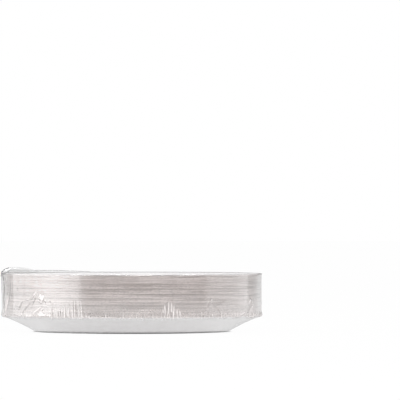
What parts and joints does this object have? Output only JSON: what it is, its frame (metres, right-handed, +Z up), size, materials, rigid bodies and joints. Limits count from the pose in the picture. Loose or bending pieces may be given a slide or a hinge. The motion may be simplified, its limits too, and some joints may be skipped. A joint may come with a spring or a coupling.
{
  "type": "wrapped stack of disposable paper plates",
  "caption": "Nested stack of round white moulded-fibre plates, food side up, in a tight clear shrink film.",
  "frame": {"origin": "centre of the film's flat base, on the surface that the stack stands on", "axes": "+Z up along the stack's own axis; -X towards the pinched ear of film on the top edge"},
  "size_m": [0.2574, 0.256, 0.0635],
  "materials": {
    "moulded_fibre": "matte pulp with a fine fibre grain",
    "clear_film": "clear, glossy, tight, with small pleats"
  },
  "bodies": {
    "root": {"plate_01": "moulded_fibre", "plate_02": "moulded_fibre", "plate_03": "moulded_fibre", "plate_04": "moulded_fibre", "plate_05": "moulded_fibre", "plate_06": "moulded_fibre", "plate_07": "moulded_fibre", "plate_08": "moulded_fibre", "plate_09": "moulded_fibre", "plate_10": "moulded_fibre", "plate_11": "moulded_fibre", "plate_12": "moulded_fibre", "plate_13": "moulded_fibre", "plate_14": "moulded_fibre", "plate_15": "moulded_fibre", "plate_16": "moulded_fibre", "plate_17": "moulded_fibre", "plate_18": "moulded_fibre", "plate_19": "moulded_fibre", "plate_20": "moulded_fibre", "plate_21": "moulded_fibre", "plate_22": "moulded_fibre", "plate_23": "moulded_fibre", "plate_24": "moulded_fibre", "plate_25": "moulded_fibre", "plate_26": "moulded_fibre", "plate_27": "moulded_fibre", "plate_28": "moulded_fibre", "plate_29": "moulded_fibre", "plate_30": "moulded_fibre", "plate_31": "moulded_fibre", "plate_32": "moulded_fibre", "plate_33": "moulded_fibre", "plate_34": "moulded_fibre", "plate_35": "moulded_fibre", "plate_36": "moulded_fibre", "plate_37": "moulded_fibre", "plate_38": "moulded_fibre", "plate_39": "moulded_fibre", "plate_40": "moulded_fibre", "plate_41": "moulded_fibre", "plate_42": "moulded_fibre", "plate_43": "moulded_fibre", "plate_44": "moulded_fibre", "plate_45": "moulded_fibre", "plate_46": "moulded_fibre", "plate_47": "moulded_fibre", "plate_48": "moulded_fibre", "plate_49": "moulded_fibre", "plate_50": "moulded_fibre", "film_wrap": "clear_film"}
  },
  "joints": []
}
